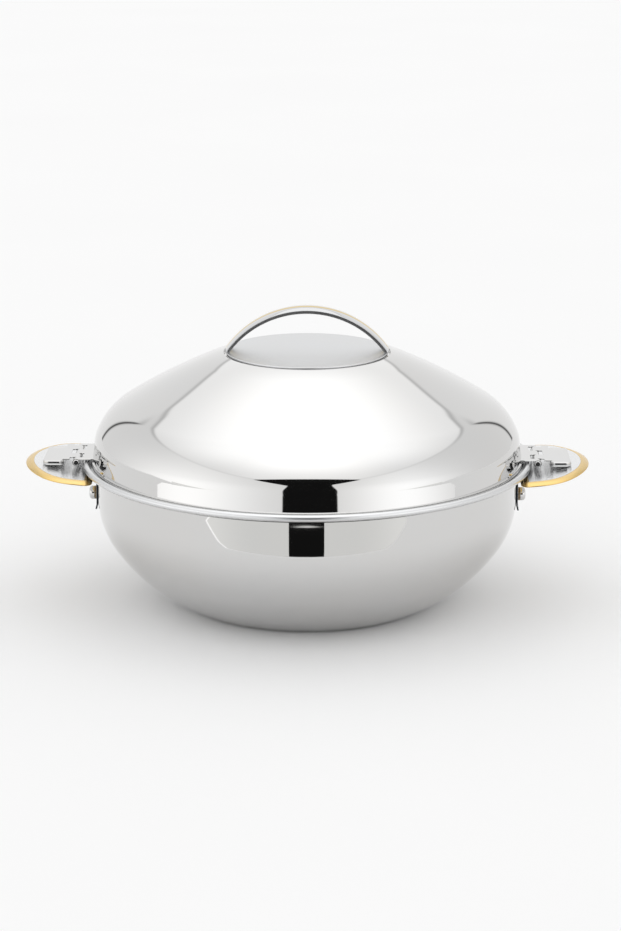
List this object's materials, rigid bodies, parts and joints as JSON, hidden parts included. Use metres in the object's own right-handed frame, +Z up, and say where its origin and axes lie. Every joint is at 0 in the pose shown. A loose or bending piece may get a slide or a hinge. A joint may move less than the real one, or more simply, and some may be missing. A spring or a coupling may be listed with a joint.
{
  "type": "insulated casserole",
  "caption": "Double-walled steel serving bowl with a lift-off domed lid, strap lid handle, two side handles and two hinged side latches.",
  "frame": {"origin": "on the surface it stands on, under the middle of the bowl", "axes": "+Z up, +X through the right-hand side handle, -Y towards the viewer who has that handle on the right"},
  "size_m": [0.3758, 0.3, 0.1989],
  "materials": {
    "polished_steel": "mirror polished stainless steel",
    "satin_steel": "satin spun stainless steel",
    "gilt_edged_steel": "polished stainless steel with a gold-coloured plated rim",
    "gilt_striped_steel": "polished stainless steel with a gold-coloured plated stripe",
    "insulation_foam": null,
    "plug_plastic": "matte"
  },
  "bodies": {
    "bowl": {"outer_bowl": "polished_steel", "inner_bowl": "satin_steel", "bowl_foam": "insulation_foam", "foam_plug": "plug_plastic", "right_handle_plate": "gilt_edged_steel", "right_rivet_collar": "polished_steel", "right_backing_plate": "polished_steel", "right_handle_rivet": "polished_steel", "right_catch_stud": "polished_steel", "left_handle_plate": "gilt_edged_steel", "left_rivet_collar": "polished_steel", "left_backing_plate": "polished_steel", "left_handle_rivet": "polished_steel", "left_catch_stud": "polished_steel"},
    "lid": {"lid_outer": "polished_steel", "lid_inner": "satin_steel", "lid_foam": "insulation_foam", "lid_foam_plug": "plug_plastic", "lid_cap": "polished_steel", "lid_handle": "gilt_striped_steel", "lid_handle_rivets": "polished_steel", "right_latch_bracket": "polished_steel", "right_bracket_rivets": "polished_steel", "right_hinge_pin": "polished_steel", "left_latch_bracket": "polished_steel", "left_bracket_rivets": "polished_steel", "left_hinge_pin": "polished_steel"},
    "left_latch": {"left_latch_tongue": "polished_steel"},
    "right_latch": {"right_latch_tongue": "polished_steel"}
  },
  "joints": [
    {"name": "lid_lift", "type": "slide", "parent": "bowl", "child": "lid", "axis": [0, 0, 1], "range_m": [0, 0.15]},
    {"name": "left_latch_flip", "type": "hinge", "parent": "lid", "child": "left_latch", "pos_m": [-0.15285, 0, 0.0972], "axis": [0, 1, 0], "range_deg": [0, 110]},
    {"name": "right_latch_flip", "type": "hinge", "parent": "lid", "child": "right_latch", "pos_m": [0.15285, 0, 0.0972], "axis": [0, -1, 0], "range_deg": [0, 110]}
  ]
}
